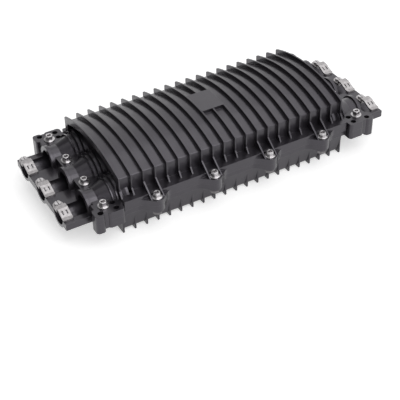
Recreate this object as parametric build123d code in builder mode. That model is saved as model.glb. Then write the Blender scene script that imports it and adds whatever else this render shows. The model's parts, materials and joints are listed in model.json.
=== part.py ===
from build123d import *
import os

# In-line fibre closure: two ribbed half shells bolted round a stack of splice trays.
# Origin at the centre of the footprint, X along the cables, Z up from the lower rib tips.

# Ribbed body
rib_pitch = 15.0
rib_count = 21
rib_thick = 2.0
wall = 3.0
parting_z = 38.0

# Upper shell, the dome
dome_half_width = 67.5
shoulder_z = 70.7
crown_rise = 13.3
shoulder_radius = 2.0
dome_rib_height = 4.0
rib_foot_reach = 5.0
rib_foot_height = 7.0
gusset_reach = 19.0
gusset_height = 14.0
flange_half_width = 83.5
flange_height = 12.0
hood_overhang = 9.0

# Lower shell, the tub
belly_z = 3.0
tub_foot_half_width = 72.5
tub_top_half_width = 76.0
tub_corner_radius = 4.0
tub_rib_half_width = 74.5
rim_half_width = 81.0
rim_depth = 8.0
rim_wall = 10.0

# Side ears and their bolts, centred in rib bays 2 and 7 from the middle
bolt_bays = (-8, -3, 2, 7)
side_bolt_y = 87.0
ear_radius = 8.5
ear_base = 34.0
ear_blend = 9.0
ear_height = 7.5
boss_radius = 7.5
boss_height = 10.0

# Cable ports, three at each end
port_pitch = 49.0
port_count = 3
horn_radius = 26.5
neck_radius = 16.0
lip_radius = 18.0
bore_radius = 12.5
horn_wall = 3.0
horn_reach = 22.0
neck_length = 10.0
lip_length = 4.0
horn_rib_gaps = (6.0, 11.0, 16.0)
horn_rib_thick = 1.2
horn_rib_height = 2.2
port_fin_gaps = (10.0, 15.0, 20.0, 25.0)
port_fin_thick = 1.2
port_fin_root = 1.0

# End flange, with the screws between the ports
end_flange_reach = 30.0
end_flange_half_width = 80.0
end_flange_height = 10.0
end_screw_reach = 21.3

# Corner lugs: a square block with two holes, a groove, and a deeper pillar with the third hole
lug_block_reach = (2.0, 22.5)
lug_pillar_reach = (26.0, 37.5)
lug_inner_y = 68.0
lug_outer_y = 90.0
lug_pillar_width = 15.0
lug_corner_radius = 4.0
lug_web_setback = 2.0
block_depth = 10.5
pillar_depth = 13.5
block_hole_reach = 10.0
block_hole_ys = (73.0, 83.5)
pillar_hole_reach = 29.7
pillar_hole_y = 84.0

# Cable platform and its clamps
platform_length = 33.6
platform_half_width = 69.8
platform_gap = 1.5
platform_thick = 8.5
clamp_width = 12.0
clamp_edge_gap = 0.4
clamp_thick = 2.2
clamp_rise = 7.0
clamp_step_y = 7.5
clamp_bend_y = 0.5
clamp_toe_y = -10.5
clamp_end_y = -15.5
clamp_corner_radius = 2.5
clamp_screw_shift = 14.5
clamp_slot_y = -5.0
clamp_slot_length = 5.0
clamp_slot_width = 1.6
clamp_slot_spread = 5.0

# Bare label field on the crown
label_x = (-14.0, 16.0)
label_y = (-20.0, 18.0)
label_drop = 0.8

# M6 flange bolts, nuts and inserts
thread_radius = 3.0
thread_fit = 0.05
bolt_clearance = 0.3
bolt_flange_radius = 6.7
bolt_flange_thick = 1.3
hex_flats = 8.0
hex_height = 5.2
hex_recess_radius = 2.2
hex_recess_depth = 2.0
nut_flats = 10.0
nut_height = 5.2
thread_runout = 1.5
insert_radius = 4.5
insert_length = 8.0

# Clamp screws, M4
clamp_thread_radius = 2.0
clamp_head_radius = 3.8
clamp_head_height = 2.6
clamp_screw_depth = 6.5
slot_width = 1.0
slot_depth = 1.0

# Seal strip
seal_width = 4.0
seal_depth = 4.0
seal_y = 76.0
seal_end_gap = 4.0
seal_fit = 0.05

# Slack storage tray, on bosses above the tub floor
storage_half_length = 145.5
storage_half_width = 58.0
storage_floor_z = 26.0
storage_floor_thick = 2.0
storage_rim_height = 10.0
storage_rim_thick = 1.8
storage_corner_radius = 8.0
storage_notch_width = 26.0
storage_slot_x = 120.0
storage_slot = (24.0, 8.0)
tray_boss_places = ((-133.0, 46.0), (-133.0, -46.0), (133.0, 46.0), (133.0, -46.0), (-76.0, 0.0), (76.0, 0.0))
tray_boss_radius = 5.0
tray_screw_radius = 1.75
tray_screw_head_radius = 3.5
tray_screw_head_height = 2.2
tray_screw_depth = 9.0

# Anchors for the cable strength members
anchor_x = 98.0
anchor_ys = (-35.0, 0.0, 35.0)
anchor_plate = (18.0, 13.0, 3.0)
anchor_hex_flats = 9.0
anchor_hex_height = 10.0
anchor_stud_radius = 2.5
anchor_stud_height = 14.0
anchor_nut_flats = 8.0
anchor_nut_height = 4.0
anchor_nut_lift = 4.0

# Splice trays on a stepped hinge
splice_tray_count = 4
splice_tray_half_length = 62.0
splice_tray_front_y = -46.0
splice_tray_back_y = 30.0
splice_tray_height = 8.0
splice_tray_pitch = 10.0
splice_tray_lift = 2.0
splice_tray_wall = 1.5
splice_tray_floor = 1.5
splice_tray_corner = 7.0
tray_foot_size = 4.0
tray_tab_xs = (-36.0, 0.0, 36.0)
tray_tab = (10.0, 5.0, 1.2)
fibre_ring_x = 42.0
fibre_ring_radius = 15.0
fibre_ring_height = 5.0
tray_foot_gap = 0.3
hinge_first_y = 34.0
hinge_step_y = 5.5
hinge_pin_radius = 1.5
hinge_pin_fit = 0.1
hinge_barrel_radius = 3.0
hinge_arm_width = 6.0
bracket_gap = 1.0
bracket_cheek = 2.5
bracket_margin = 4.0
bracket_back_wall = 2.0
bracket_tab = (10.0, 12.0, 2.0)
bracket_screw_radius = 1.25
bracket_screw_head_radius = 2.6
bracket_screw_head_height = 1.8
bracket_screw_length = 7.0

# Splice holder combs and the lid over the top tray
holder_size = (48.0, 26.0, 3.0)
holder_y = -8.0
holder_tooth = (1.2, 2.5)
holder_tooth_count = 13
lid_thick = 1.5
lid_knob_radius = 3.0
lid_knob_height = 1.0

# Places that follow from the sizes above
ends = (-1, 1)
sides = (-1, 1)
corners = [(end, side) for end in ends for side in sides]
standing = (Align.CENTER, Align.CENTER, Align.MIN)
hanging = (Align.CENTER, Align.CENTER, Align.MAX)
body_half = rib_pitch * (rib_count - 1) / 2 + rib_thick / 2
rib_xs = [rib_pitch * (i - (rib_count - 1) / 2) for i in range(rib_count)]
side_bolt_xs = [rib_pitch * (bay + 0.5) for bay in bolt_bays]
port_ys = [port_pitch * (i - (port_count - 1) / 2) for i in range(port_count)]
end_screw_ys = [port_pitch * (i - port_count / 2) for i in range(port_count + 1)]

crown_z = shoulder_z + crown_rise
flange_z = parting_z + flange_height
ear_top_z = parting_z + ear_height
end_flange_z = parting_z + end_flange_height
rim_z = parting_z - rim_depth
boss_foot_z = parting_z - boss_height
block_foot_z = parting_z - block_depth
pillar_foot_z = parting_z - pillar_depth
dome_end_x = body_half - hood_overhang
cavity_end_x = body_half - wall
horn_end_x = body_half + horn_reach
lip_start_x = horn_end_x + neck_length
lip_end_x = lip_start_x + lip_length
platform_end_x = lip_start_x + platform_length
platform_z = parting_z - platform_gap
end_screw_x = body_half + end_screw_reach
end_flange_x = body_half + end_flange_reach
block_hole_x = body_half + block_hole_reach
pillar_hole_x = body_half + pillar_hole_reach
clamp_x = platform_end_x - clamp_edge_gap - clamp_width / 2
bolt_hole_radius = thread_radius + bolt_clearance
tub_floor_z = belly_z + wall
storage_z = storage_floor_z + storage_floor_thick
first_tray_z = storage_z + splice_tray_lift
tray_zs = [first_tray_z + splice_tray_pitch * i for i in range(splice_tray_count)]
hinge_ys = [hinge_first_y + hinge_step_y * i for i in range(splice_tray_count)]
lid_z = tray_zs[-1] + splice_tray_height
cheek_x = splice_tray_half_length + bracket_gap
tab_x = cheek_x + bracket_cheek + bracket_tab[0] / 2
bracket_screw_places = [(side * tab_x, splice_tray_back_y + bracket_tab[1] / 2) for side in sides]

os.makedirs("parts", exist_ok=True)


def finish(builder, label):
    """Names a finished piece and writes its file."""
    builder.part.label = label
    export_step(builder.part, f"parts/{label}.step")


def dome_outline(grow, foot_z):
    """Cross-section of the dome, grown outward from its outer wall."""
    half = dome_half_width + grow
    shoulder = shoulder_z + grow
    with BuildSketch() as outline:
        with BuildLine():
            ThreePointArc((-half, shoulder), (0, crown_z + grow), (half, shoulder))
            Polyline((half, shoulder), (half, foot_z), (-half, foot_z), (-half, shoulder))
        make_face()
        fillet(outline.vertices().group_by(Axis.Y)[-1], shoulder_radius)
    return outline.sketch


def foot_outline(reach, height, foot_z):
    """Sloped feet on both sides of a dome rib, standing on the flange or on an ear."""
    root = dome_half_width + dome_rib_height
    top_z = foot_z + height
    foot = dome_half_width + reach + dome_rib_height
    with BuildSketch() as outline:
        Polygon((-foot, foot_z), (-root, top_z), (root, top_z), (foot, foot_z), align=None)
    return outline.sketch


def tub_outline(foot_half, top_half, foot_z, top_z):
    """Cross-section of the tub, with sloped sides and rounded lower corners."""
    with BuildSketch() as outline:
        Polygon((-foot_half, foot_z), (foot_half, foot_z), (top_half, top_z), (-top_half, top_z), align=None)
        fillet(outline.vertices().group_by(Axis.Y)[0], tub_corner_radius)
    return outline.sketch


def ear_plan(half_width):
    """Plan of a long rim with its four bolt ears on each side."""
    with BuildSketch() as plan:
        Rectangle(2 * body_half, 2 * half_width)
        for side in sides:
            for x in side_bolt_xs:
                with BuildSketch(mode=Mode.PRIVATE) as ear:
                    with Locations((x, side * side_bolt_y)):
                        Circle(ear_radius)
                    with Locations((x, side * (half_width - wall / 2))):
                        Rectangle(ear_base, wall)
                    make_hull()
                add(ear.sketch)
        inner = [v for v in plan.vertices() if abs(abs(v.Y) - half_width) < rib_thick / 10]
        fillet([v for v in inner if abs(v.X) < body_half - rib_thick], ear_blend)
    return plan.sketch


def boss_plan():
    """Plan of the eight bosses under the ears, each tied back to the tub wall."""
    tie = side_bolt_y - tub_foot_half_width
    with BuildSketch() as plan:
        for side in sides:
            for x in side_bolt_xs:
                with Locations((x, side * side_bolt_y)):
                    Circle(boss_radius)
                with Locations((x, side * (side_bolt_y - tie / 2))):
                    Rectangle(2 * boss_radius, tie)
    return plan.sketch


def pillar_plan():
    """Plan of the outer pillars of the four corner lugs."""
    length = lug_pillar_reach[1] - lug_pillar_reach[0]
    centre_x = body_half + sum(lug_pillar_reach) / 2
    centre_y = lug_outer_y - lug_pillar_width / 2
    with BuildSketch() as plan:
        with Locations(*[(end * centre_x, side * centre_y) for end, side in corners]):
            RectangleRounded(length, lug_pillar_width, lug_corner_radius)
    return plan.sketch


def lug_plan():
    """Plan of the four corner lugs: block, web behind the groove, and pillar."""
    length = lug_block_reach[1] - lug_block_reach[0]
    depth = lug_outer_y - lug_inner_y
    centre_x = body_half + sum(lug_block_reach) / 2
    centre_y = (lug_inner_y + lug_outer_y) / 2
    web_x = body_half + (lug_block_reach[0] + lug_pillar_reach[1]) / 2
    web_length = lug_pillar_reach[1] - lug_block_reach[0] - 2 * lug_corner_radius
    with BuildSketch() as plan:
        with Locations(*[(end * centre_x, side * centre_y) for end, side in corners]):
            RectangleRounded(length, depth, lug_corner_radius)
        with Locations(*[(end * web_x, side * (centre_y - lug_web_setback)) for end, side in corners]):
            Rectangle(web_length, depth)
        add(pillar_plan())
    return plan.sketch


def end_plan(inner_x):
    """Plan of the flange round the ports at both ends."""
    with BuildSketch() as plan:
        with Locations((-(inner_x + end_flange_x) / 2, 0), ((inner_x + end_flange_x) / 2, 0)):
            Rectangle(end_flange_x - inner_x, 2 * end_flange_half_width)
        add(lug_plan())
    return plan.sketch


def side_bolt_places(z):
    """The eight side bolt axes at one height."""
    return [(x, side * side_bolt_y, z) for side in sides for x in side_bolt_xs]


def end_screw_places(z):
    """The eight end screw axes at one height."""
    return [(end * end_screw_x, y, z) for end in ends for y in end_screw_ys]


def lug_places(z):
    """The axes of the three holes in each corner lug at one height."""
    holes = [(block_hole_x, y) for y in block_hole_ys] + [(pillar_hole_x, pillar_hole_y)]
    return [(end * x, side * y, z) for end, side in corners for x, y in holes]


def port_places():
    """Axis origins of the three pairs of ports."""
    return [(0, y, parting_z) for y in port_ys]


def port_fins(half):
    """Fins across the hollow of each port, in the upper (1) or the lower (-1) half."""
    slope = (horn_radius - horn_wall - bore_radius) / (horn_end_x - dome_end_x)
    with BuildPart() as fins:
        for gap in port_fin_gaps:
            radius = horn_radius - horn_wall - gap * slope + port_fin_root
            for end in ends:
                with BuildSketch(Plane.YZ.offset(end * (dome_end_x + gap) - port_fin_thick / 2)):
                    with Locations(*[(y, parting_z) for y in port_ys]):
                        Circle(radius)
                        Circle(bore_radius, mode=Mode.SUBTRACT)
                    with Locations((0, parting_z - half * horn_radius)):
                        Rectangle(2 * end_flange_half_width, 2 * horn_radius, mode=Mode.SUBTRACT)
        extrude(amount=port_fin_thick)
    return fins.part


# Upper half of the port horns: a flare, a neck and a lip, turned about the port axis at both ends
with BuildPart() as upper_horns:
    with BuildSketch():
        with BuildLine():
            Polyline(
                (dome_end_x - wall, 0),
                (dome_end_x - wall, horn_radius),
                (dome_end_x, horn_radius),
                (horn_end_x, neck_radius),
                (lip_start_x, neck_radius),
                (lip_start_x, lip_radius),
                (lip_end_x, lip_radius),
                (lip_end_x, 0),
                close=True,
            )
        make_face()
        mirror(about=Plane.YZ)
    revolve(axis=Axis.X, revolution_arc=180)

with BuildPart() as lower_horns:
    mirror(upper_horns.part, about=Plane.XY)

# The hollow inside each horn
with BuildPart() as bore_pair:
    with BuildSketch():
        with BuildLine():
            Polyline(
                (dome_end_x - 2 * wall, 0),
                (dome_end_x - 2 * wall, horn_radius - horn_wall),
                (dome_end_x, horn_radius - horn_wall),
                (horn_end_x, bore_radius),
                (platform_end_x + wall, bore_radius),
                (platform_end_x + wall, 0),
                close=True,
            )
        make_face()
        mirror(about=Plane.YZ)
    revolve(axis=Axis.X)

# Raised arcs round each flare of the upper shell
flare_slope = (horn_radius - neck_radius) / (horn_end_x - dome_end_x)
with BuildPart() as horn_arcs:
    for gap in horn_rib_gaps:
        radius = horn_radius - gap * flare_slope + horn_rib_height
        for end in ends:
            with BuildSketch(Plane.YZ.offset(end * (dome_end_x + gap) - horn_rib_thick / 2)):
                Circle(radius)
                Rectangle(2 * radius, radius, align=(Align.CENTER, Align.MAX), mode=Mode.SUBTRACT)
    extrude(amount=horn_rib_thick)

# Upper shell
with BuildPart() as upper_shell:
    # Dome with its transverse ribs, each with a foot on the flange or a gusset on an ear
    with BuildSketch(Plane.YZ.offset(-body_half)):
        add(dome_outline(0, parting_z))
    extrude(amount=2 * body_half)
    for x in rib_xs:
        beside_bolt = any(abs(abs(x - bolt_x) - rib_pitch / 2) < rib_thick for bolt_x in side_bolt_xs)
        with BuildSketch(Plane.YZ.offset(x - rib_thick / 2)):
            add(dome_outline(dome_rib_height, flange_z))
            if beside_bolt:
                add(foot_outline(gusset_reach, gusset_height, ear_top_z))
            else:
                add(foot_outline(rib_foot_reach, rib_foot_height, flange_z))
    extrude(amount=rib_thick)
    # Bare label field between the ribs
    label_length = label_x[1] - label_x[0]
    label_width = label_y[1] - label_y[0]
    label_centre = (sum(label_x) / 2, sum(label_y) / 2)
    label_z = crown_z + dome_rib_height - label_drop
    with BuildSketch(Plane.XY.offset(shoulder_z)):
        with Locations(label_centre):
            Rectangle(label_length, label_width)
    extrude(amount=label_z - shoulder_z)
    with BuildSketch(Plane.XY.offset(label_z)):
        with Locations(label_centre):
            Rectangle(label_length, label_width)
    extrude(amount=dome_rib_height, mode=Mode.SUBTRACT)
    # Side flange, ears and end flanges
    with BuildSketch(Plane.XY.offset(parting_z)):
        Rectangle(2 * body_half, 2 * flange_half_width)
    extrude(amount=flange_height)
    with BuildSketch(Plane.XY.offset(parting_z)):
        add(ear_plan(flange_half_width))
    extrude(amount=ear_height)
    # Recess under each hood, in front of the end wall
    for end in ends:
        with BuildSketch(Plane.YZ.offset(end * dome_end_x)):
            add(dome_outline(-wall, end_flange_z))
        extrude(amount=end * hood_overhang, mode=Mode.SUBTRACT)
    with BuildSketch(Plane.XY.offset(parting_z)):
        add(end_plan(dome_end_x - wall))
    extrude(amount=end_flange_height)
    # Port horns with their arcs
    for place in port_places():
        with Locations(place):
            add(upper_horns.part)
            add(horn_arcs.part)
    # Hollow of the dome and of the ports
    with BuildSketch(Plane.YZ.offset(wall - dome_end_x)):
        add(dome_outline(-wall, parting_z))
    extrude(amount=2 * (dome_end_x - wall), mode=Mode.SUBTRACT)
    for place in port_places():
        with Locations(place):
            add(bore_pair.part, mode=Mode.SUBTRACT)
    add(port_fins(1))
    # Bolt and lug holes, and the seats of the bolt heads
    with Locations(*side_bolt_places(parting_z), *end_screw_places(parting_z), *lug_places(parting_z)):
        Cylinder(bolt_hole_radius, flange_height, align=standing, mode=Mode.SUBTRACT)
    with Locations(*side_bolt_places(ear_top_z)):
        Cylinder(
            bolt_flange_radius + bolt_clearance,
            flange_height,
            align=standing,
            mode=Mode.SUBTRACT,
        )
finish(upper_shell, "upper_shell")

# Lower shell
with BuildPart() as lower_shell:
    # Tub with its transverse ribs
    with BuildSketch(Plane.YZ.offset(-body_half)):
        add(tub_outline(tub_foot_half_width, tub_top_half_width, belly_z, rim_z))
    extrude(amount=2 * body_half)
    side_slope = (rim_z - belly_z) / (tub_top_half_width - tub_foot_half_width)
    merge_z = belly_z + side_slope * (tub_rib_half_width - tub_foot_half_width)
    for x in rib_xs:
        with BuildSketch(Plane.YZ.offset(x - rib_thick / 2)):
            with Locations((0, merge_z / 2)):
                Rectangle(2 * tub_rib_half_width, merge_z)
    extrude(amount=rib_thick)
    # Rim with ears and bosses, end flanges and lugs
    with BuildSketch(Plane.XY.offset(rim_z)):
        add(ear_plan(rim_half_width))
        add(end_plan(cavity_end_x))
    extrude(amount=rim_depth)
    with BuildSketch(Plane.XY.offset(boss_foot_z)):
        add(boss_plan())
    extrude(amount=boss_height)
    with BuildSketch(Plane.XY.offset(block_foot_z)):
        add(lug_plan())
    extrude(amount=block_depth)
    with BuildSketch(Plane.XY.offset(pillar_foot_z)):
        add(pillar_plan())
    extrude(amount=pillar_depth)
    # Lower halves of the port horns
    for place in port_places():
        with Locations(place):
            add(lower_horns.part)
    # Cable platform at each end: a plate on three half-round troughs
    for end in ends:
        with BuildSketch(Plane.YZ.offset(end * lip_start_x)):
            with Locations(*[(y, parting_z) for y in port_ys]):
                Circle(neck_radius)
            with Locations((0, platform_z)):
                Rectangle(2 * platform_half_width, platform_thick, align=(Align.CENTER, Align.MAX))
                Rectangle(
                    2 * platform_half_width,
                    2 * neck_radius,
                    align=(Align.CENTER, Align.MIN),
                    mode=Mode.SUBTRACT,
                )
        extrude(amount=end * platform_length)
    # Hollow of the tub and of the ports
    with BuildSketch(Plane.YZ.offset(-cavity_end_x)):
        add(tub_outline(tub_foot_half_width - wall, rim_half_width - rim_wall, tub_floor_z, parting_z))
    extrude(amount=2 * cavity_end_x, mode=Mode.SUBTRACT)
    for place in port_places():
        with Locations(place):
            add(bore_pair.part, mode=Mode.SUBTRACT)
    add(port_fins(-1))
    # Bosses that carry the storage tray
    with Locations(*[(x, y, tub_floor_z - wall / 2) for x, y in tray_boss_places]):
        Cylinder(tray_boss_radius, storage_floor_z - tub_floor_z + wall / 2, align=standing)
    with Locations(*[(x, y, storage_floor_z) for x, y in tray_boss_places]):
        Cylinder(
            tray_screw_radius + thread_fit,
            tray_screw_depth,
            align=hanging,
            mode=Mode.SUBTRACT,
        )
    # Seal grooves in the long rims
    with BuildSketch(Plane.XY.offset(parting_z)):
        with Locations((0, -seal_y), (0, seal_y)):
            Rectangle(2 * (body_half - seal_end_gap), seal_width)
    extrude(amount=-seal_depth, mode=Mode.SUBTRACT)
    # Bolt, lug, insert and clamp screw holes
    with Locations(*side_bolt_places(parting_z), *lug_places(parting_z)):
        Cylinder(bolt_hole_radius, pillar_depth, align=hanging, mode=Mode.SUBTRACT)
    with Locations(*end_screw_places(parting_z)):
        Cylinder(insert_radius, insert_length, align=hanging, mode=Mode.SUBTRACT)
    with Locations(*[(end * clamp_x, y + clamp_screw_shift, platform_z) for end in ends for y in port_ys]):
        Cylinder(
            clamp_thread_radius + thread_fit,
            clamp_screw_depth,
            align=hanging,
            mode=Mode.SUBTRACT,
        )
finish(lower_shell, "lower_shell")


def bolt(seat_z, shank_length):
    """A flange bolt with a recessed hexagon head, its seat at the given height."""
    with BuildPart() as piece:
        with BuildSketch(Plane.XY.offset(seat_z)):
            Circle(bolt_flange_radius)
        extrude(amount=bolt_flange_thick)
        with BuildSketch(Plane.XY.offset(seat_z + bolt_flange_thick)):
            RegularPolygon(hex_flats / 2, 6, major_radius=False)
        extrude(amount=hex_height)
        with BuildSketch(Plane.XY.offset(seat_z + bolt_flange_thick + hex_height)):
            Circle(hex_recess_radius)
        extrude(amount=-hex_recess_depth, mode=Mode.SUBTRACT)
        with BuildSketch(Plane.XY.offset(seat_z)):
            Circle(thread_radius)
        extrude(amount=-shank_length)
    return piece.part


def hex_nut(top_z, flats, height, bore):
    """A hexagon nut hanging from the given height."""
    with BuildPart() as piece:
        with BuildSketch(Plane.XY.offset(top_z)):
            RegularPolygon(flats / 2, 6, major_radius=False)
            Circle(bore, mode=Mode.SUBTRACT)
        extrude(amount=-height)
    return piece.part


# Side bolts and their nuts, one group along each long side
side_bolt = bolt(ear_top_z, ear_top_z - boss_foot_z + nut_height + thread_runout)
side_nut = hex_nut(boss_foot_z, nut_flats, nut_height, thread_radius + thread_fit)
for side, side_name in ((-1, "front"), (1, "back")):
    with BuildPart() as side_bolts:
        with Locations(*[(x, side * side_bolt_y) for x in side_bolt_xs]):
            add(side_bolt)
    finish(side_bolts, f"side_bolts_{side_name}")
    with BuildPart() as side_nuts:
        with Locations(*[(x, side * side_bolt_y) for x in side_bolt_xs]):
            add(side_nut)
    finish(side_nuts, f"side_nuts_{side_name}")

# End screws and the threaded inserts in the lower end flange
end_screw = bolt(end_flange_z, end_flange_height + insert_length - thread_runout)
for end, end_name in ((-1, "left"), (1, "right")):
    with BuildPart() as end_screws:
        with Locations(*[(end * end_screw_x, y) for y in end_screw_ys]):
            add(end_screw)
    finish(end_screws, f"end_screws_{end_name}")
    with BuildPart() as end_inserts:
        with BuildSketch(Plane.XY.offset(parting_z)):
            with Locations(*[(end * end_screw_x, y) for y in end_screw_ys]):
                Circle(insert_radius)
                Circle(thread_radius + thread_fit, mode=Mode.SUBTRACT)
        extrude(amount=-insert_length)
    finish(end_inserts, f"end_inserts_{end_name}")

# Seal strips in the grooves of the long rims
for side, side_name in ((-1, "front"), (1, "back")):
    with BuildPart() as side_seal:
        with BuildSketch(Plane.XY.offset(parting_z)):
            with Locations((0, side * seal_y)):
                Rectangle(2 * (body_half - seal_end_gap - seal_fit), seal_width - 2 * seal_fit)
        extrude(amount=-seal_depth)
    finish(side_seal, f"side_seal_{side_name}")

# Cable clamps: a strap humped over each cable, with a round ear for its screw and a toe
clamp_top_z = platform_z + clamp_thick
hump_z = platform_z + clamp_rise
for end, end_name in ((-1, "left"), (1, "right")):
    for port_y, row_name in zip(port_ys, ("front", "middle", "rear")):
        step_y = port_y + clamp_step_y
        bend_y = port_y + clamp_bend_y
        toe_y = port_y + clamp_toe_y
        end_y = port_y + clamp_end_y
        ear_y = port_y + clamp_screw_shift
        with BuildPart() as cable_clamp:
            with BuildSketch(Plane.YZ.offset(end * clamp_x)):
                Polygon(
                    (step_y, platform_z),
                    (step_y, hump_z),
                    (bend_y, hump_z),
                    (toe_y, clamp_top_z),
                    (end_y, clamp_top_z),
                    (end_y, platform_z),
                    align=None,
                )
                Polygon(
                    (step_y - clamp_thick, platform_z),
                    (step_y - clamp_thick, hump_z - clamp_thick),
                    (bend_y, hump_z - clamp_thick),
                    (toe_y, platform_z),
                    align=None,
                    mode=Mode.SUBTRACT,
                )
            extrude(amount=clamp_width / 2, both=True)
            with BuildSketch(Plane.XY.offset(platform_z)):
                with Locations((end * clamp_x, (step_y + ear_y) / 2)):
                    Rectangle(clamp_width, ear_y - step_y)
                with Locations((end * clamp_x, ear_y)):
                    Circle(clamp_width / 2)
                    Circle(clamp_thread_radius + thread_fit, mode=Mode.SUBTRACT)
            extrude(amount=clamp_thick)
            fillet(cable_clamp.edges().filter_by(Axis.Z).group_by(Axis.Y)[0], clamp_corner_radius)
            with BuildSketch(Plane.XY.offset(platform_z)):
                with Locations(
                    (end * clamp_x - clamp_slot_spread / 2, port_y + clamp_slot_y),
                    (end * clamp_x + clamp_slot_spread / 2, port_y + clamp_slot_y),
                ):
                    SlotOverall(clamp_slot_length, clamp_slot_width, rotation=90)
            extrude(amount=clamp_rise, mode=Mode.SUBTRACT)
        finish(cable_clamp, f"cable_clamp_{end_name}_{row_name}")

# Slotted screws of the clamps
for end, end_name in ((-1, "left"), (1, "right")):
    clamp_screw_places = [(end * clamp_x, y + clamp_screw_shift) for y in port_ys]
    with BuildPart() as clamp_screws:
        with BuildSketch(Plane.XY.offset(platform_z + clamp_thick)):
            with Locations(*clamp_screw_places):
                Circle(clamp_head_radius)
        extrude(amount=clamp_head_height)
        with BuildSketch(Plane.XY.offset(platform_z + clamp_thick + clamp_head_height)):
            with Locations(*clamp_screw_places):
                Rectangle(slot_width, 2 * clamp_head_radius)
        extrude(amount=-slot_depth, mode=Mode.SUBTRACT)
        with BuildSketch(Plane.XY.offset(platform_z + clamp_thick)):
            with Locations(*clamp_screw_places):
                Circle(clamp_thread_radius)
        extrude(amount=-(clamp_thick + clamp_screw_depth - thread_runout))
    finish(clamp_screws, f"clamp_screws_{end_name}")

# Storage tray: a rimmed floor with two cable slots
with BuildPart() as storage_tray:
    with BuildSketch(Plane.XY.offset(storage_floor_z)):
        RectangleRounded(2 * storage_half_length, 2 * storage_half_width, storage_corner_radius)
    extrude(amount=storage_rim_height)
    with BuildSketch(Plane.XY.offset(storage_z)):
        RectangleRounded(
            2 * (storage_half_length - storage_rim_thick),
            2 * (storage_half_width - storage_rim_thick),
            storage_corner_radius - storage_rim_thick,
        )
    extrude(amount=storage_rim_height, mode=Mode.SUBTRACT)
    with BuildSketch(Plane.XY.offset(storage_z)):
        with Locations(*[(0, y) for y in port_ys]):
            Rectangle(2 * storage_half_length, storage_notch_width)
    extrude(amount=storage_rim_height, mode=Mode.SUBTRACT)
    with BuildSketch(Plane.XY.offset(storage_floor_z)):
        with Locations((-storage_slot_x, 0), (storage_slot_x, 0)):
            Rectangle(storage_slot[1], storage_slot[0])
        with Locations(*tray_boss_places):
            Circle(tray_screw_radius + thread_fit)
        with Locations(*bracket_screw_places):
            Circle(bracket_screw_radius + thread_fit)
    extrude(amount=storage_floor_thick, mode=Mode.SUBTRACT)
finish(storage_tray, "storage_tray")

with BuildPart() as storage_tray_screws:
    with BuildSketch(Plane.XY.offset(storage_z)):
        with Locations(*tray_boss_places):
            Circle(tray_screw_head_radius)
    extrude(amount=tray_screw_head_height)
    with BuildSketch(Plane.XY.offset(storage_z)):
        with Locations(*tray_boss_places):
            Circle(tray_screw_radius)
    extrude(amount=-(storage_floor_thick + tray_screw_depth - thread_runout))
finish(storage_tray_screws, "storage_tray_screws")

# Anchors: a base plate, a hexagon post with a stud, and a nut, three at each end
for end, end_name in ((-1, "left"), (1, "right")):
    anchor_places = [(end * anchor_x, y) for y in anchor_ys]
    with BuildPart() as anchor_plates:
        with BuildSketch(Plane.XY.offset(storage_z)):
            with Locations(*anchor_places):
                Rectangle(anchor_plate[0], anchor_plate[1])
        extrude(amount=anchor_plate[2])
    finish(anchor_plates, f"anchor_plates_{end_name}")
    post_z = storage_z + anchor_plate[2]
    stud_z = post_z + anchor_hex_height
    with BuildPart() as anchor_posts:
        with BuildSketch(Plane.XY.offset(post_z)):
            with Locations(*anchor_places):
                RegularPolygon(anchor_hex_flats / 2, 6, major_radius=False)
        extrude(amount=anchor_hex_height)
        with BuildSketch(Plane.XY.offset(stud_z)):
            with Locations(*anchor_places):
                Circle(anchor_stud_radius)
        extrude(amount=anchor_stud_height)
    finish(anchor_posts, f"anchor_posts_{end_name}")
    anchor_nut = hex_nut(
        stud_z + anchor_nut_lift + anchor_nut_height,
        anchor_nut_flats,
        anchor_nut_height,
        anchor_stud_radius + thread_fit,
    )
    with BuildPart() as anchor_nuts:
        with Locations(*anchor_places):
            add(anchor_nut)
    finish(anchor_nuts, f"anchor_nuts_{end_name}")

# Hinge bracket: two stepped cheeks joined by a back wall, standing on the storage tray
back_wall_y = hinge_ys[-1] + hinge_barrel_radius + tray_foot_gap
with BuildPart() as hinge_bracket:
    with BuildSketch(Plane.YZ.offset(-cheek_x - bracket_cheek)) as cheek:
        with Locations(*[(y, z + hinge_barrel_radius) for y, z in zip(hinge_ys, tray_zs)]):
            Circle(bracket_margin)
        with Locations(((splice_tray_back_y + back_wall_y) / 2, storage_z)):
            Rectangle(
                back_wall_y - splice_tray_back_y,
                splice_tray_lift,
                align=(Align.CENTER, Align.MIN),
            )
        make_hull()
        with Locations((back_wall_y, storage_z)):
            Rectangle(
                2 * hinge_barrel_radius * splice_tray_count,
                2 * splice_tray_pitch * splice_tray_count,
                align=(Align.MIN, Align.MIN),
                mode=Mode.SUBTRACT,
            )
        with Locations(*[(y, z + hinge_barrel_radius) for y, z in zip(hinge_ys, tray_zs)]):
            Circle(hinge_pin_radius + hinge_pin_fit, mode=Mode.SUBTRACT)
    extrude(amount=bracket_cheek)
    mirror(about=Plane.YZ)
    with BuildSketch(Plane.XY.offset(storage_z)):
        with Locations((0, back_wall_y)):
            Rectangle(
                2 * (cheek_x + bracket_cheek),
                bracket_back_wall,
                align=(Align.CENTER, Align.MIN),
            )
    extrude(amount=tray_zs[-1] + hinge_barrel_radius + bracket_margin - storage_z)
    with BuildSketch(Plane.XY.offset(storage_z)):
        with Locations(*bracket_screw_places):
            Rectangle(bracket_tab[0], bracket_tab[1])
            Circle(bracket_screw_radius + thread_fit, mode=Mode.SUBTRACT)
    extrude(amount=bracket_tab[2])
finish(hinge_bracket, "hinge_bracket")

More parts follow.
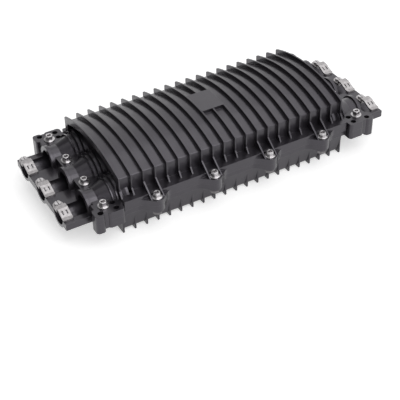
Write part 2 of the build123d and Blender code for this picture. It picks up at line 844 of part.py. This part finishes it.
with BuildPart() as bracket_screws:
    with BuildSketch(Plane.XY.offset(storage_z + bracket_tab[2])):
        with Locations(*bracket_screw_places):
            Circle(bracket_screw_head_radius)
    extrude(amount=bracket_screw_head_height)
    with BuildSketch(Plane.XY.offset(storage_z + bracket_tab[2])):
        with Locations(*bracket_screw_places):
            Circle(bracket_screw_radius)
    extrude(amount=-bracket_screw_length)
finish(bracket_screws, "bracket_screws")

# Splice trays: shallow walled trays, each on its own pins one step further back and up
tray_mid_y = (splice_tray_front_y + splice_tray_back_y) / 2
tray_depth = splice_tray_back_y - splice_tray_front_y
for i, (pin_y, tray_z) in enumerate(zip(hinge_ys, tray_zs), start=1):
    pin_z = tray_z + hinge_barrel_radius
    with BuildPart() as splice_tray:
        with BuildSketch(Plane.XY.offset(tray_z)):
            with Locations((0, tray_mid_y)):
                RectangleRounded(2 * splice_tray_half_length, tray_depth, splice_tray_corner)
        extrude(amount=splice_tray_height)
        # Hinge arms and front feet
        for side in sides:
            arm_x = side * (splice_tray_half_length - hinge_arm_width / 2)
            with BuildSketch(Plane.YZ.offset(arm_x)):
                with Locations((pin_y, pin_z)):
                    Circle(hinge_barrel_radius)
                with Locations((pin_y, tray_z)):
                    Rectangle(
                        pin_y - splice_tray_back_y + splice_tray_corner,
                        2 * hinge_barrel_radius,
                        align=(Align.MAX, Align.MIN),
                    )
            extrude(amount=hinge_arm_width / 2, both=True)
            foot_x = side * (splice_tray_half_length - 2 * splice_tray_corner)
            with BuildSketch(Plane.XY.offset(tray_z)):
                with Locations((foot_x, splice_tray_front_y + tray_foot_size / 2)):
                    Rectangle(2 * tray_foot_size, tray_foot_size)
            extrude(amount=tray_foot_gap - splice_tray_lift)
        with BuildSketch(Plane.XY.offset(tray_z + splice_tray_floor)):
            with Locations((0, tray_mid_y)):
                RectangleRounded(
                    2 * (splice_tray_half_length - splice_tray_wall),
                    tray_depth - 2 * splice_tray_wall,
                    splice_tray_corner - splice_tray_wall,
                )
        extrude(amount=splice_tray_height, mode=Mode.SUBTRACT)
        # Tabs over the long walls and a ring at each end that keep the fibres in
        with BuildSketch(Plane.XY.offset(tray_z + splice_tray_height)):
            with Locations(*[(x, splice_tray_front_y) for x in tray_tab_xs]):
                Rectangle(tray_tab[0], tray_tab[1], align=(Align.CENTER, Align.MIN))
            with Locations(*[(x, splice_tray_back_y) for x in tray_tab_xs]):
                Rectangle(tray_tab[0], tray_tab[1], align=(Align.CENTER, Align.MAX))
        extrude(amount=-tray_tab[2])
        with BuildSketch(Plane.XY.offset(tray_z + splice_tray_floor)):
            with Locations((-fibre_ring_x, tray_mid_y), (fibre_ring_x, tray_mid_y)):
                Circle(fibre_ring_radius)
                Circle(fibre_ring_radius - splice_tray_wall, mode=Mode.SUBTRACT)
        extrude(amount=fibre_ring_height)
        # Hinge pins
        with BuildSketch(Plane.YZ.offset(-cheek_x - bracket_cheek)):
            with Locations((pin_y, pin_z)):
                Circle(hinge_pin_radius)
        extrude(amount=bracket_cheek + bracket_gap)
        with BuildSketch(Plane.YZ.offset(splice_tray_half_length)):
            with Locations((pin_y, pin_z)):
                Circle(hinge_pin_radius)
        extrude(amount=bracket_cheek + bracket_gap)
    finish(splice_tray, f"splice_tray_{i}")

    # Comb that holds the splice sleeves, standing on the tray floor
    with BuildPart() as splice_holder:
        with BuildSketch(Plane.XY.offset(tray_z + splice_tray_floor)):
            with Locations((0, holder_y)):
                Rectangle(holder_size[0], holder_size[1])
        extrude(amount=holder_size[2] / 2)
        tooth_pitch = (holder_size[0] - holder_tooth[0]) / (holder_tooth_count - 1)
        with BuildSketch(Plane.XY.offset(tray_z + splice_tray_floor + holder_size[2] / 2)):
            with Locations((0, holder_y)):
                with GridLocations(tooth_pitch, 1, holder_tooth_count, 1):
                    Rectangle(holder_tooth[0], holder_size[1])
        extrude(amount=holder_tooth[1])
    finish(splice_holder, f"splice_holder_{i}")

# Lid on the top tray
with BuildPart() as splice_tray_lid:
    with BuildSketch(Plane.XY.offset(lid_z)):
        with Locations((0, tray_mid_y)):
            RectangleRounded(2 * splice_tray_half_length, tray_depth, splice_tray_corner)
    extrude(amount=lid_thick)
    with BuildSketch(Plane.XY.offset(lid_z + lid_thick)):
        with Locations((0, tray_mid_y)):
            Circle(lid_knob_radius)
    extrude(amount=lid_knob_height)
finish(splice_tray_lid, "splice_tray_lid")
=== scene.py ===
"""Looks of the in-line fibre closure: finishes, fasteners, studio and camera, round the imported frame."""

import json
import math

import bmesh
import bpy
from mathutils import Matrix, Vector


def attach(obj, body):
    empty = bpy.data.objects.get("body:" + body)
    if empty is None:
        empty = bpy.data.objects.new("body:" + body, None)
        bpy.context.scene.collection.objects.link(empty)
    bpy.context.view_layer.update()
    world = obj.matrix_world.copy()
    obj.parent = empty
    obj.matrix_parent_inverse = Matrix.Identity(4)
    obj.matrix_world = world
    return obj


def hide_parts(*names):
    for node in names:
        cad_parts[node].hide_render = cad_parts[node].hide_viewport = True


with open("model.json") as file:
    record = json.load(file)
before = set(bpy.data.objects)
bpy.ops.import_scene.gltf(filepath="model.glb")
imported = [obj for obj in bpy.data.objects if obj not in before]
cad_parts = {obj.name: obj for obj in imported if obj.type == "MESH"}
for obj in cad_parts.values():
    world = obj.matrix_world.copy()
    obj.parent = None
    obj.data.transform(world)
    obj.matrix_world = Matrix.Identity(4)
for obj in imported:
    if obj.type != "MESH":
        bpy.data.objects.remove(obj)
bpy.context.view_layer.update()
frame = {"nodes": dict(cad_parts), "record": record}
nodes = frame["nodes"]
record = frame["record"]
slot_of_node = {part["node"]: part["material_slot"] for part in record["subparts"]}
body_of_node = {
    node: body for body, members in record["behaviour"]["bodies"].items() for node in members}

# Camera, fitted to the photograph: turned from +Y towards +X, pitched down, and a slight roll.
# Angles in radians, distances in metres, focal length in pixels of the photograph.
CAMERA_YAW = 0.51419
CAMERA_PITCH = 0.67479
CAMERA_ROLL = -0.01751
CAMERA_DISTANCE = 1.28314
CAMERA_SHIFT_RIGHT = -0.00625
CAMERA_SHIFT_UP = -0.05112
FOCAL_PIXELS = 1033.09
IMAGE_PIXELS = 400.0
SENSOR_MM = 36.0
CLIP_START = 0.05
CLIP_END = 50.0

# Lamps: place and side in metres, level as the brightness of a white surface that faces the lamp
AIM = (0.0, 0.0, 0.04)
KEY_PLACE = (0.2, -2.1, 2.2)
KEY_SIZE = 2.4
KEY_LEVEL = 0.42
TOP_PLACE = (0.3, 0.0, 2.8)
TOP_SIZE = 2.8
TOP_LEVEL = 0.22

# Surround: grey for soft light, white for the camera, and in reflections darker towards -X.
# The last two are the X of a direction where the dark side ends and where the white begins.
AMBIENT_LEVEL = 0.34
BACKGROUND_WHITE = 1.0
DARK_SIDE_LEVEL = 0.14
DARK_SIDE_FROM = -0.15
DARK_SIDE_TO = 0.35

# Floor: half its side in metres, its colour, and the light added where the camera or a mirror sees it
FLOOR_HALF = 6.0
FLOOR_COLOUR = (0.92, 0.92, 0.92, 1.0)
FLOOR_ROUGHNESS = 0.9
FLOOR_LIFT = 0.50
FLOOR_MIRROR_LIFT = 0.36

# Rounding of edges in the finishes, metres, and the samples it takes
SHELL_EDGE = 0.0006
METAL_EDGE = 0.0003
EDGE_SAMPLES = 6

# Part of a noise that is stretched to the whole range of a finish
NOISE_LOW = 0.35
NOISE_HIGH = 0.65

# Flange bolts, metres: outer sizes come from the frame, these are the details on them
HEX_FLATS = 0.008
HEX_HEIGHT = 0.0052
HEX_FOOT_LIFT = 0.0002
HEX_CROWN_RADIUS = 0.0037
HEX_CHAMFER_SLOPE = math.tan(math.radians(30.0))
DISH_RADIUS = 0.0022
DISH_DEPTH = 0.0034
DISH_BREAK = 0.0003
FLANGE_THICK = 0.0013
FLANGE_EDGE = 0.0007
FLANGE_BREAK = FLANGE_EDGE / 3
FLANGE_SHOULDER = 1.4 * FLANGE_EDGE
THREAD_PITCH = 0.001
THREAD_RADIUS = 0.003
THREAD_DEPTH = 0.0005

# Nuts and anchor posts, metres; the bore is a share of the width across flats
CHAMFER = 0.0003
NUT_BORE_SHARE = 0.61
ANCHOR_HEX_HEIGHT = 0.010
ANCHOR_STUD_RADIUS = 0.0025
SMALL_PITCH = 0.0008
SMALL_THREAD_DEPTH = 0.0004

# Pan head screws: height of the head and radius of the shank, metres
TRAY_SCREW = (0.0022, 0.00175)
BRACKET_SCREW = (0.0018, 0.00125)
# Pan head from seat to top: share of the head's radius and of its height
PAN_PROFILE = (
    (0.3, 0.0), (0.97, 0.0), (1.0, 0.12), (0.99, 0.4),
    (0.93, 0.66), (0.82, 0.86), (0.66, 0.97), (0.58, 1.0))
# Cross recess: reach and half width of its arms as shares of the head's radius, and at its bottom
# the share of its outline and of the head's height
RECESS_REACH = 0.52
RECESS_HALF_WIDTH = 0.11
RECESS_BOTTOM = (0.8, 0.35)

# Arcs round the port horns, metres: distance of each from the closure's middle, and outer radius
HORN_ARCS = ((0.148, 0.02667), (0.153, 0.02497), (0.158, 0.02328))
PORT_YS = (-0.049, 0.0, 0.049)
PORT_Z = 0.038
# Bands on the crests of the arcs: half the angle each covers, steps along it, and its section in
# metres, along the port and outwards from the arc
CREST_SPREAD = math.radians(64.0)
CREST_STEPS = 40
CREST_SECTION = (
    (-0.0008, -0.0003), (-0.0008, 0.00025), (-0.00065, 0.0004),
    (0.00065, 0.0004), (0.0008, 0.00025), (0.0008, -0.0003))

# Meshes: steps round a circle, distances in metres at which points are one, and the sharpest edge
# that is still shaded smooth
CIRCLE_STEPS = 48
CIRCLE_STEP = 2 * math.pi / CIRCLE_STEPS
CAD_WELD = 1e-6
PIECE_WELD = 1e-7
SMOOTH_ANGLE = math.radians(30.0)
TINY = 1e-9


def camera_axes():
    """Right, up and forward directions of the camera."""
    flat = math.cos(CAMERA_PITCH)
    forward = Vector((
        math.sin(CAMERA_YAW) * flat, math.cos(CAMERA_YAW) * flat, -math.sin(CAMERA_PITCH)))
    right = Vector((math.cos(CAMERA_YAW), -math.sin(CAMERA_YAW), 0.0))
    up = right.cross(forward)
    cos_roll, sin_roll = math.cos(CAMERA_ROLL), math.sin(CAMERA_ROLL)
    return right * cos_roll + up * sin_roll, up * cos_roll - right * sin_roll, forward


def add_camera():
    """The photograph's camera."""
    right, up, forward = camera_axes()
    place = -forward * CAMERA_DISTANCE + right * CAMERA_SHIFT_RIGHT + up * CAMERA_SHIFT_UP
    data = bpy.data.cameras.new("camera")
    data.sensor_width = SENSOR_MM
    data.sensor_height = SENSOR_MM
    data.sensor_fit = "HORIZONTAL"
    data.lens = SENSOR_MM * FOCAL_PIXELS / IMAGE_PIXELS
    data.clip_start = CLIP_START
    data.clip_end = CLIP_END
    camera = bpy.data.objects.new("camera", data)
    turn = Matrix((right, up, -forward)).transposed().to_4x4()
    camera.matrix_world = Matrix.Translation(place) @ turn
    bpy.context.collection.objects.link(camera)
    bpy.context.scene.camera = camera


def area_light(name, place, size, level):
    """A square soft box turned to the object, of the given level there."""
    data = bpy.data.lights.new(name, "AREA")
    data.shape = "SQUARE"
    data.size = size
    offset = Vector(AIM) - Vector(place)
    data.energy = level * math.pi**2 * offset.length_squared
    light = bpy.data.objects.new(name, data)
    light.location = place
    light.rotation_euler = offset.to_track_quat("-Z", "Y").to_euler()
    bpy.context.collection.objects.link(light)


class Shader:
    """A material and the few node helpers that the finishes share."""

    def __init__(self, name):
        self.material = bpy.data.materials.new(name)
        self.material.use_nodes = True
        self.tree = self.material.node_tree
        self.bsdf = self.tree.nodes["Principled BSDF"]
        self.coordinates = self.tree.nodes.new("ShaderNodeTexCoord").outputs["Object"]

    def set(self, **values):
        """Sets sockets of the principled shader, with spaces in their names as underscores."""
        for name, value in values.items():
            self.bsdf.inputs[name.replace("_", " ")].default_value = value
        return self

    def link(self, output, node_input):
        """Joins two sockets."""
        self.tree.links.new(output, node_input)

    def noise(self, scale, detail=3.0, roughness=0.55):
        """A noise of the given scale in the row frame."""
        node = self.tree.nodes.new("ShaderNodeTexNoise")
        node.inputs["Scale"].default_value = scale
        node.inputs["Detail"].default_value = detail
        node.inputs["Roughness"].default_value = roughness
        self.link(self.coordinates, node.inputs["Vector"])
        return node.outputs["Fac"]

    def remap(self, value, low, high):
        """Stretches the middle of a noise between two values."""
        node = self.tree.nodes.new("ShaderNodeMapRange")
        node.inputs["From Min"].default_value = NOISE_LOW
        node.inputs["From Max"].default_value = NOISE_HIGH
        node.inputs["To Min"].default_value = low
        node.inputs["To Max"].default_value = high
        self.link(value, node.inputs["Value"])
        return node.outputs["Result"]

    def mottle(self, noise, first, second):
        """Gives the base colour a noise between two colours."""
        node = self.tree.nodes.new("ShaderNodeMix")
        node.data_type = "RGBA"
        node.inputs["A"].default_value = (*first, 1.0)
        node.inputs["B"].default_value = (*second, 1.0)
        self.link(self.remap(noise, 0.0, 1.0), node.inputs["Factor"])
        self.link(node.outputs["Result"], self.bsdf.inputs["Base Color"])

    def roughen(self, noise, low, high):
        """Gives the roughness a noise between two values."""
        self.link(self.remap(noise, low, high), self.bsdf.inputs["Roughness"])

    def round_edges(self, radius):
        """Shades the edges of the surface as if they were rounded."""
        node = self.tree.nodes.new("ShaderNodeBevel")
        node.samples = EDGE_SAMPLES
        node.inputs["Radius"].default_value = radius
        self.link(node.outputs["Normal"], self.bsdf.inputs["Normal"])
        self.link(node.outputs["Normal"], self.bsdf.inputs["Coat Normal"])

    def bump(self, height, distance, strength):
        """Raises the surface by a height map, over what shapes it already."""
        node = self.tree.nodes.new("ShaderNodeBump")
        node.inputs["Distance"].default_value = distance
        node.inputs["Strength"].default_value = strength
        self.link(height, node.inputs["Height"])
        previous = self.bsdf.inputs["Normal"]
        if previous.links:
            self.link(previous.links[0].from_socket, node.inputs["Normal"])
        self.link(node.outputs["Normal"], previous)


def shell_plastic(name="shell_plastic", rough=(0.28, 0.38), edge=SHELL_EDGE):
    """Black glass-filled plastic: a deep black under a smooth moulded skin, faintly mottled."""
    shader = Shader(name).set(IOR=1.5, Coat_Weight=0.45, Coat_IOR=1.45, Coat_Roughness=0.12)
    shader.set(Specular_IOR_Level=0.72, Specular_Tint=(0.93, 0.87, 1.0, 1.0))
    if edge:
        shader.round_edges(edge)
    shader.mottle(
        shader.noise(38.0, detail=4.0), (0.0095, 0.0085, 0.0105), (0.0145, 0.013, 0.0155))
    shader.roughen(shader.noise(70.0, detail=2.0), *rough)
    shader.bump(shader.noise(2600.0, detail=2.0), distance=0.00006, strength=0.5)
    shader.bump(shader.noise(60.0, detail=2.0), distance=0.0004, strength=0.15)
    return shader.material


def seal_rubber():
    """Soft black rubber."""
    shader = Shader("seal_rubber").set(IOR=1.48)
    shader.mottle(shader.noise(300.0), (0.012, 0.012, 0.013), (0.022, 0.022, 0.023))
    shader.roughen(shader.noise(500.0), 0.62, 0.78)
    shader.bump(shader.noise(1800.0), distance=0.00005, strength=0.4)
    return shader.material


def satin_metal(name, dark, light, rough, grain, waviness=0.0):
    """Bare metal with a fine grain, and a slight waviness where it is pressed sheet."""
    shader = Shader(name).set(Metallic=1.0)
    shader.round_edges(METAL_EDGE)
    shader.mottle(shader.noise(grain, detail=4.0, roughness=0.6), dark, light)
    shader.roughen(shader.noise(grain * 1.7, detail=3.0, roughness=0.6), *rough)
    fine = shader.noise(grain * 2.5, detail=2.0, roughness=0.5)
    shader.bump(fine, distance=0.00003, strength=0.35)
    if waviness:
        shader.bump(shader.noise(230.0, detail=1.0), distance=waviness, strength=1.0)
    return shader.material


def milky_plastic(name, first, second, rough, through):
    """Pale moulded plastic that lets some light through."""
    shader = Shader(name).set(IOR=1.49)
    shader.set(Subsurface_Weight=through, Subsurface_Scale=0.004)
    shader.set(Subsurface_Radius=(1.0, 1.0, 1.0))
    shader.mottle(shader.noise(24.0), first, second)
    shader.roughen(shader.noise(160.0), *rough)
    shader.bump(shader.noise(1500.0), distance=0.00001, strength=0.3)
    return shader.material


finishes = {
    "shell_plastic": shell_plastic(),
    "shell_crest": shell_plastic("shell_crest", rough=(0.14, 0.20), edge=0.0),
    "seal_rubber": seal_rubber(),
    "clamp_steel": satin_metal(
        "clamp_steel", (0.40, 0.385, 0.39), (0.55, 0.53, 0.535), rough=(0.42, 0.54),
        grain=260.0, waviness=0.0003),
    "bolt_steel": satin_metal(
        "bolt_steel", (0.50, 0.485, 0.495), (0.68, 0.66, 0.67), rough=(0.22, 0.34), grain=420.0),
    "insert_brass": satin_metal(
        "insert_brass", (0.62, 0.44, 0.18), (0.80, 0.60, 0.28), rough=(0.28, 0.40), grain=400.0),
    # Darker steel for the side nuts: painted shade that dims the bright floor their undersides reflect
    "shaded_nut_steel": satin_metal(
        "shaded_nut_steel", (0.15, 0.145, 0.15), (0.24, 0.23, 0.235), rough=(0.34, 0.46), grain=420.0),
    "tray_white": milky_plastic(
        "tray_white", (0.88, 0.885, 0.895), (0.93, 0.935, 0.94), rough=(0.345, 0.375),
        through=0.10),
    "splice_clear": milky_plastic(
        "splice_clear", (0.87, 0.885, 0.90), (0.92, 0.93, 0.94), rough=(0.245, 0.275),
        through=0.65),
    "comb_dark": seal_rubber(),
    "anchor_dark": shell_plastic(),
}


def dress(name):
    """Gives a carried-over CAD node its finish."""
    materials = nodes[name].data.materials
    materials.clear()
    materials.append(finishes[slot_of_node[name]])


def solid_boxes(name):
    """Lowest and highest corners of each separate solid of a CAD node."""
    mesh = bmesh.new()
    mesh.from_mesh(nodes[name].data)
    bmesh.ops.remove_doubles(mesh, verts=mesh.verts, dist=CAD_WELD)
    waiting = set(mesh.verts)
    boxes = []
    while waiting:
        found = {waiting.pop()}
        front = list(found)
        while front:
            near = {v for edge in front.pop().link_edges for v in edge.verts} & waiting
            waiting -= near
            found |= near
            front.extend(near)
        low = Vector([min(v.co[i] for v in found) for i in range(3)])
        high = Vector([max(v.co[i] for v in found) for i in range(3)])
        boxes.append((low, high))
    mesh.free()
    return sorted(boxes, key=lambda box: tuple(box[0]))


def middle(low, high):
    """Place of a fastener's axis."""
    return (low.x + high.x) / 2, (low.y + high.y) / 2


def add_rings(mesh, rings, cap_ends=True):
    """Joins closed rings of points into a skin, one after the other."""
    loops = [[mesh.verts.new(point) for point in ring] for ring in rings]
    for lower, upper in zip(loops, loops[1:]):
        count = len(lower)
        for i in range(count):
            j = (i + 1) % count
            mesh.faces.new((lower[i], lower[j], upper[j], upper[i]))
    if cap_ends:
        mesh.faces.new(list(reversed(loops[0])))
        mesh.faces.new(loops[-1])


def round_ring(x, y, z, radius):
    """A circle of points round a vertical axis."""
    angles = [i * CIRCLE_STEP for i in range(CIRCLE_STEPS)]
    return [(x + radius * math.cos(a), y + radius * math.sin(a), z) for a in angles]


def hex_ring(x, y, flats, height_at):
    """A hexagon of points with corners along X; height_at gives z from the radius."""
    points = []
    for i in range(CIRCLE_STEPS):
        angle = i * CIRCLE_STEP
        radius = flats / 2 / math.cos(angle % (math.pi / 3) - math.pi / 6)
        points.append((
            x + radius * math.cos(angle), y + radius * math.sin(angle), height_at(radius)))
    return points


def crown_height(top, crown_radius):
    """Height of a hexagon's chamfered edge at a radius."""
    return lambda radius: top - max(radius - crown_radius, 0.0) * HEX_CHAMFER_SLOPE


def add_thread(mesh, x, y, top, bottom, radius, pitch, depth):
    """A threaded rod: one helical ridge round a core, with a chamfered end."""
    turns = int((top - bottom) / pitch) - 1
    steps = CIRCLE_STEPS // 2
    root = radius - depth
    crests, roots = [], []
    for i in range(turns * steps + 1):
        angle = 2 * math.pi * i / steps
        east, north = math.cos(angle), math.sin(angle)
        z = bottom + pitch + pitch * i / steps
        crests.append(mesh.verts.new((x + radius * east, y + radius * north, z)))
        roots.append(mesh.verts.new((x + root * east, y + root * north, z - pitch / 2)))
    for i in range(turns * steps):
        mesh.faces.new((roots[i], roots[i + 1], crests[i + 1], crests[i]))
        if i + steps < turns * steps:
            mesh.faces.new((crests[i], crests[i + 1], roots[i + steps + 1], roots[i + steps]))
    core = root - depth / 2
    add_rings(mesh, [
        round_ring(x, y, bottom, core - depth),
        round_ring(x, y, bottom + pitch / 2, core + depth / 2),
        round_ring(x, y, top, root),
    ])


def add_flange_bolt(mesh, low, high):
    """A flange bolt: threaded shank, sloped flange, chamfered hexagon with a dished top."""
    x, y = middle(low, high)
    flange = (high.y - low.y) / 2
    top = high.z
    hex_foot = top - HEX_HEIGHT
    seat = hex_foot - FLANGE_THICK
    add_rings(mesh, [
        round_ring(x, y, seat, THREAD_RADIUS),
        round_ring(x, y, seat, flange - FLANGE_BREAK),
        round_ring(x, y, seat + FLANGE_BREAK, flange),
        round_ring(x, y, seat + FLANGE_EDGE, flange),
        round_ring(x, y, seat + FLANGE_SHOULDER, flange - FLANGE_BREAK),
        hex_ring(x, y, HEX_FLATS, lambda radius: hex_foot + HEX_FOOT_LIFT),
        hex_ring(x, y, HEX_FLATS, crown_height(top, HEX_CROWN_RADIUS)),
        round_ring(x, y, top, HEX_CROWN_RADIUS),
        round_ring(x, y, top, DISH_RADIUS + DISH_BREAK),
        round_ring(x, y, top - DISH_BREAK, DISH_RADIUS),
        round_ring(x, y, top - DISH_DEPTH, DISH_RADIUS - DISH_BREAK),
    ])
    add_thread(mesh, x, y, seat, low.z, THREAD_RADIUS, THREAD_PITCH, THREAD_DEPTH)


def hex_prism_rings(x, y, flats, bottom, top):
    """Rings of a hexagon prism with both ends chamfered, from its lower face to its upper one."""
    face = flats / 2 - CHAMFER
    crown = crown_height(top, face)
    return [
        round_ring(x, y, bottom, face),
        hex_ring(x, y, flats, lambda radius: bottom + top - crown(radius)),
        hex_ring(x, y, flats, crown),
        round_ring(x, y, top, face),
    ]


def add_nut(mesh, low, high):
    """A hexagon nut with both ends chamfered."""
    x, y = middle(low, high)
    flats = high.y - low.y
    bore = NUT_BORE_SHARE * flats / 2
    foot = round_ring(x, y, low.z, bore)
    outside = hex_prism_rings(x, y, flats, low.z, high.z)
    add_rings(mesh, [foot, *outside, round_ring(x, y, high.z, bore), foot], cap_ends=False)


def add_anchor_post(mesh, low, high):
    """A hexagon post with chamfered ends and a threaded stud on it."""
    x, y = middle(low, high)
    top = low.z + ANCHOR_HEX_HEIGHT
    add_rings(mesh, hex_prism_rings(x, y, high.y - low.y, low.z, top))
    stud = bmesh.new()
    add_thread(
        stud, x, y, -top, -high.z, ANCHOR_STUD_RADIUS, SMALL_PITCH, SMALL_THREAD_DEPTH)
    move_mirrored(stud, mesh)


def move_mirrored(source, target):
    """Moves a mesh into another one, upside down."""
    made = {v: target.verts.new((v.co.x, v.co.y, -v.co.z)) for v in source.verts}
    for face in source.faces:
        target.faces.new([made[v] for v in reversed(face.verts)])
    source.free()


def cross_radius(angle, reach, half_width):
    """Distance from the middle of a cross recess to its edge in one direction."""
    along, across = abs(math.cos(angle)), abs(math.sin(angle))
    arms = [
        min(reach / max(a, TINY), half_width / max(b, TINY))
        for a, b in ((along, across), (across, along))]
    return max(arms)


def add_pan_screw(mesh, low, high, head_height, shank_radius):
    """A screw with a domed pan head, a tapered cross recess and a threaded shank."""
    x, y = middle(low, high)
    head = (high.x - low.x) / 2
    seat = high.z - head_height
    reach, half_width = RECESS_REACH * head, RECESS_HALF_WIDTH * head
    corner = math.atan2(half_width, reach)
    whole_turn = round(2 * math.pi, 6)
    angles = {round(i * CIRCLE_STEP, 6) for i in range(CIRCLE_STEPS)}
    for i in range(4):
        angles |= {round(i * math.pi / 2 + lean, 6) % whole_turn for lean in (corner, -corner)}

    def ring(radius_at, lift):
        z = seat + lift * head_height
        return [
            (x + radius_at(a) * math.cos(a), y + radius_at(a) * math.sin(a), z)
            for a in sorted(angles)]

    def head_ring(share, lift):
        return ring(lambda angle: share * head, lift)

    def recess_ring(share, lift):
        return ring(lambda angle: share * cross_radius(angle, reach, half_width), lift)

    rings = [head_ring(share, lift) for share, lift in PAN_PROFILE]
    add_rings(mesh, [*rings, recess_ring(1.0, 1.0), recess_ring(*RECESS_BOTTOM)])
    add_thread(mesh, x, y, seat, low.z, shank_radius, SMALL_PITCH, SMALL_THREAD_DEPTH)


def add_crest(mesh, x, y, radius):
    """A flat band with broken edges along the crest of one arc."""
    rings = []
    for i in range(CREST_STEPS + 1):
        lean = CREST_SPREAD * (2 * i / CREST_STEPS - 1)
        east, up = math.sin(lean), math.cos(lean)
        rings.append([
            (x + along, y + (radius + out) * east, PORT_Z + (radius + out) * up)
            for along, out in CREST_SECTION])
    add_rings(mesh, rings)


def place_piece(mesh, name, body, slot, finish=None):
    """Turns a finished mesh into a piece that rides on a body, in its slot's finish or another."""
    bmesh.ops.remove_doubles(mesh, verts=mesh.verts, dist=PIECE_WELD)
    bmesh.ops.recalc_face_normals(mesh, faces=mesh.faces)
    for face in mesh.faces:
        face.smooth = True
    for edge in mesh.edges:
        edge.smooth = edge.is_manifold and edge.calc_face_angle(0.0) < SMOOTH_ANGLE
    data = bpy.data.meshes.new(name)
    mesh.to_mesh(data)
    mesh.free()
    data.materials.append(finishes[finish or slot])
    piece = bpy.data.objects.new(name, data)
    bpy.context.collection.objects.link(piece)
    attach(piece, body)
    return piece


def detailed_fasteners():
    """Threaded, chamfered fasteners in place of the plain CAD ones."""
    makers = {
        "side_bolts": add_flange_bolt,
        "end_screws": add_flange_bolt,
        "side_nuts": add_nut,
        "anchor_nuts": add_nut,
        "anchor_posts": add_anchor_post,
        "storage_tray_screws": lambda mesh, low, high: add_pan_screw(mesh, low, high, *TRAY_SCREW),
        "bracket_screws": lambda mesh, low, high: add_pan_screw(mesh, low, high, *BRACKET_SCREW),
    }
    for name in nodes:
        for kind, add_one in makers.items():
            if not name.startswith(kind):
                continue
            mesh = bmesh.new()
            for low, high in solid_boxes(name):
                add_one(mesh, low, high)
            # The side nuts take the darker steel, whose colour is painted shade
            finish = "shaded_nut_steel" if kind == "side_nuts" else None
            piece = place_piece(
                mesh, f"{name}_detailed", body_of_node[name], slot_of_node[name], finish)
            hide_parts(name)


def horn_crests():
    """Bands on the crests of the arcs of the port horns, a piece for each end."""
    for side, end in (("left", -1), ("right", 1)):
        mesh = bmesh.new()
        for x, radius in HORN_ARCS:
            for y in PORT_YS:
                add_crest(mesh, end * x, y, radius)
        place_piece(
            mesh, f"horn_crests_{side}", body_of_node["upper_shell"], "shell_plastic",
            "shell_crest")


def add_world():
    """White where the camera, a reflection or glass looks, softly darker in reflections from the
    left, and a plain grey ambient elsewhere."""
    world = bpy.data.worlds.new("world")
    world.use_nodes = True
    bpy.context.scene.world = world
    tree = world.node_tree
    background = tree.nodes["Background"]
    background.inputs["Color"].default_value = (1.0, 1.0, 1.0, 1.0)
    path = tree.nodes.new("ShaderNodeLightPath")
    direction = tree.nodes.new("ShaderNodeTexCoord").outputs["Generated"]
    split = tree.nodes.new("ShaderNodeSeparateXYZ")
    tree.links.new(direction, split.inputs["Vector"])
    side = tree.nodes.new("ShaderNodeMapRange")
    side.interpolation_type = "SMOOTHSTEP"
    side.inputs["From Min"].default_value = DARK_SIDE_FROM
    side.inputs["From Max"].default_value = DARK_SIDE_TO
    side.inputs["To Min"].default_value = DARK_SIDE_LEVEL
    side.inputs["To Max"].default_value = BACKGROUND_WHITE
    tree.links.new(split.outputs["X"], side.inputs["Value"])
    mirrored = tree.nodes.new("ShaderNodeMix")
    mirrored.inputs["A"].default_value = AMBIENT_LEVEL
    tree.links.new(side.outputs["Result"], mirrored.inputs["B"])
    tree.links.new(path.outputs["Is Glossy Ray"], mirrored.inputs["Factor"])
    level = mirrored.outputs["Result"]
    for ray in ("Is Camera Ray", "Is Transmission Ray"):
        mix = tree.nodes.new("ShaderNodeMix")
        tree.links.new(level, mix.inputs["A"])
        mix.inputs["B"].default_value = BACKGROUND_WHITE
        tree.links.new(path.outputs[ray], mix.inputs["Factor"])
        level = mix.outputs["Result"]
    tree.links.new(level, background.inputs["Strength"])


def add_floor():
    """A pale floor that keeps the shadow and fades to the white background."""
    mesh = bpy.data.meshes.new("floor")
    corners = [(x * FLOOR_HALF, y * FLOOR_HALF, 0) for x, y in ((-1, -1), (1, -1), (1, 1), (-1, 1))]
    mesh.from_pydata(corners, [], [(0, 1, 2, 3)])
    floor = bpy.data.objects.new("floor", mesh)
    bpy.context.collection.objects.link(floor)
    shader = Shader("floor")
    shader.set(Base_Color=FLOOR_COLOUR, Roughness=FLOOR_ROUGHNESS, Specular_IOR_Level=0.0)
    shader.set(Emission_Color=(1.0, 1.0, 1.0, 1.0))
    path = shader.tree.nodes.new("ShaderNodeLightPath")
    seen = shader.tree.nodes.new("ShaderNodeMath")
    seen.operation = "MAXIMUM"
    lifts = (("Is Camera Ray", FLOOR_LIFT), ("Is Glossy Ray", FLOOR_MIRROR_LIFT))
    for (ray, level), socket in zip(lifts, seen.inputs):
        lift = shader.tree.nodes.new("ShaderNodeMath")
        lift.operation = "MULTIPLY"
        lift.inputs[1].default_value = level
        shader.link(path.outputs[ray], lift.inputs[0])
        shader.link(lift.outputs["Value"], socket)
    shader.link(seen.outputs["Value"], shader.bsdf.inputs["Emission Strength"])
    mesh.materials.append(shader.material)


for node_name in nodes:
    dress(node_name)
detailed_fasteners()
horn_crests()
add_camera()
area_light("key", KEY_PLACE, KEY_SIZE, KEY_LEVEL)
area_light("top", TOP_PLACE, TOP_SIZE, TOP_LEVEL)
add_world()
add_floor()
bpy.context.scene.view_settings.view_transform = "Standard"
